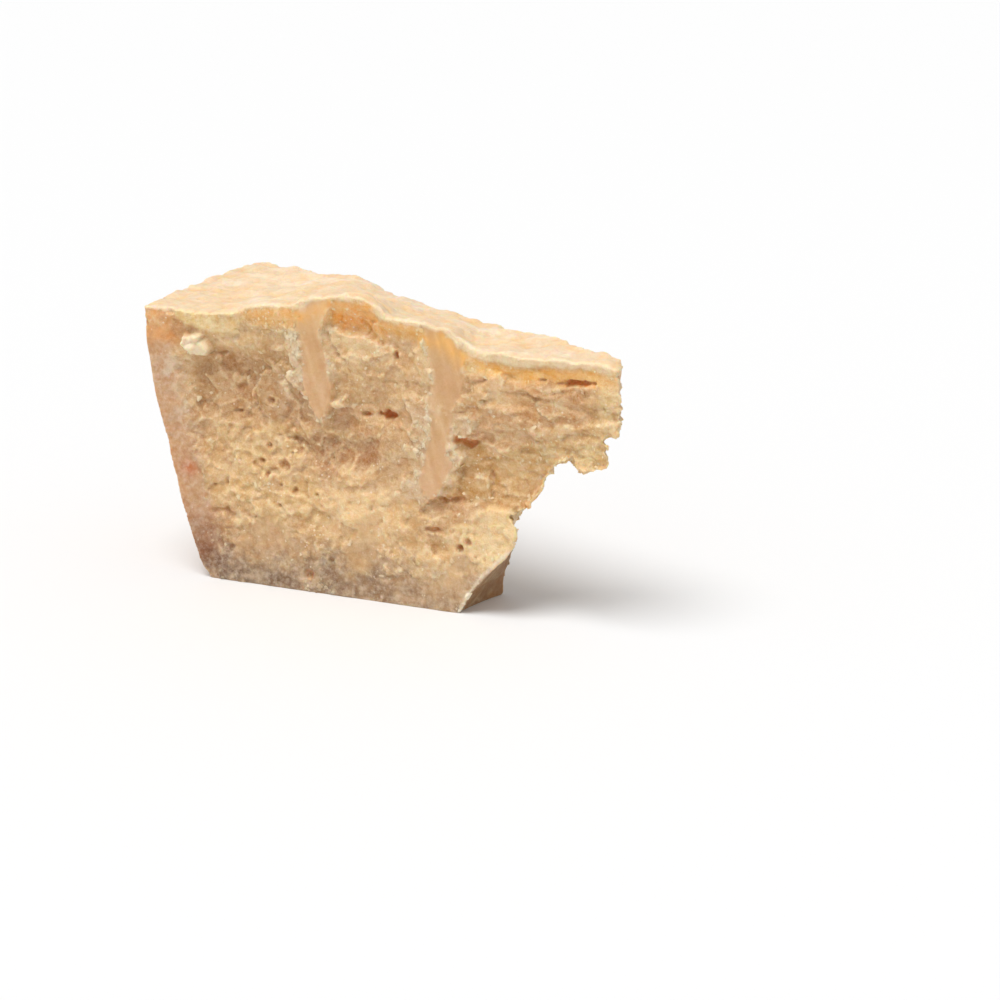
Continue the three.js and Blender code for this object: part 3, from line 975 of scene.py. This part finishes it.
along = np.cross(leaning, draw.normal(size=(CHIP_COUNT, 3)))
along /= np.linalg.norm(along, axis=1)[:, None]
across = np.cross(leaning, along)
wide_share = draw.uniform(0.45, 0.95, CHIP_COUNT)
thick_share = draw.uniform(0.12, 0.28, CHIP_COUNT)
shape = chip_shape[None] * (1 + 0.3 * draw.normal(size=(CHIP_COUNT, len(chip_shape), 1)))
chips_at = (P[chosen] + CLING_HEIGHT * N[chosen])[:, None] + length[:, None, None] * (
    shape[:, :, :1] * along[:, None]
    + shape[:, :, 1:2] * (across * wide_share[:, None])[:, None]
    + shape[:, :, 2:] * (leaning * thick_share[:, None])[:, None]
)
chips_at[:, :, 2] = np.maximum(chips_at[:, :, 2], 0.02)
faces = (chip_faces[None] + np.arange(CHIP_COUNT)[:, None, None] * len(chip_shape)).reshape(-1, 3)
crumb_points = (chips_at.reshape(-1, 3) + (FOOT_X, FRONT_Y, 0)) / 1000
crumb_mesh = bpy.data.meshes.new("clinging_crumbs")
crumb_mesh.from_pydata(crumb_points.tolist(), [], faces.tolist())
clinging = bpy.data.objects.new("clinging_crumbs", crumb_mesh)
bpy.context.scene.collection.objects.link(clinging)
paler = draw.uniform(0.1, 0.6, CHIP_COUNT)[:, None]
crumb_tint = lerp(tint[chosen], colour(240, 222, 190), paler).repeat(len(chip_shape), axis=0)
keep_colours(crumb_mesh, crumb_tint)
crumb_material = bpy.data.materials.new("dry crumb")
crumb_material.use_nodes = True
crumb_tree = crumb_material.node_tree
crumb_shader = crumb_tree.nodes["Principled BSDF"]
crumb_shader.inputs["Subsurface Weight"].default_value = 0.3
crumb_shader.inputs["Subsurface Radius"].default_value = (1.0, 0.6, 0.35)
crumb_shader.inputs["Subsurface Scale"].default_value = 0.0006
crumb_shader.inputs["Roughness"].default_value = 0.5
crumb_tree.links.new(painted(crumb_tree, "paste colour", "Color"), crumb_shader.inputs["Base Color"])
crumb_mesh.materials.append(crumb_material)
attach(clinging, "root")

# Floor, lights and camera.
# The wedge stands on a plain pale floor, in even studio light and one soft sun from above, a little from
# the front and the left. The camera looks down a little at the front face, from its right.
FLOOR_SIZE = 8  # metres
FLOOR_GREY = 0.86
STUDIO_LIGHT = 0.5
SUN_STRENGTH = 2.3
SUN_SOFTNESS = math.radians(35)
SUN_SHINES = (0.15, 0.5, -1.3)
LENS = 140.4  # mm, on a film 36 mm wide
CAMERA_AT = (0.6177, -1.2846, 0.4658)  # metres
CAMERA_LOOKS = (-0.3956, 0.8706, -0.2924)

bpy.ops.mesh.primitive_plane_add(size=FLOOR_SIZE, location=(0, 0, 0))
floor = bpy.context.object
floor.name = "floor"
floor_material = bpy.data.materials.new("pale floor")
floor_material.use_nodes = True
floor_shader = floor_material.node_tree.nodes["Principled BSDF"]
floor_shader.inputs["Base Color"].default_value = (FLOOR_GREY, FLOOR_GREY, FLOOR_GREY, 1)
floor_shader.inputs["Roughness"].default_value = 0.8
floor.data.materials.append(floor_material)

scene = bpy.context.scene
scene.view_settings.view_transform = "Standard"
world = bpy.data.worlds.new("studio")
scene.world = world
world.use_nodes = True
studio = world.node_tree.nodes["Background"]
studio.inputs["Color"].default_value = (1, 1, 1, 1)
studio.inputs["Strength"].default_value = STUDIO_LIGHT

bpy.ops.object.light_add(type="SUN", location=(0, -0.5, 1.2))
sun = bpy.context.object
sun.data.energy = SUN_STRENGTH
sun.data.angle = SUN_SOFTNESS
sun.rotation_euler = Vector(SUN_SHINES).to_track_quat("-Z", "Y").to_euler()

camera = bpy.data.cameras.new("camera")
camera.sensor_width = 36
camera.lens = LENS
camera.clip_start = 0.05
viewpoint = bpy.data.objects.new("camera", camera)
scene.collection.objects.link(viewpoint)
viewpoint.location = CAMERA_AT
viewpoint.rotation_euler = Vector(CAMERA_LOOKS).to_track_quat("-Z", "Y").to_euler()
scene.camera = viewpoint
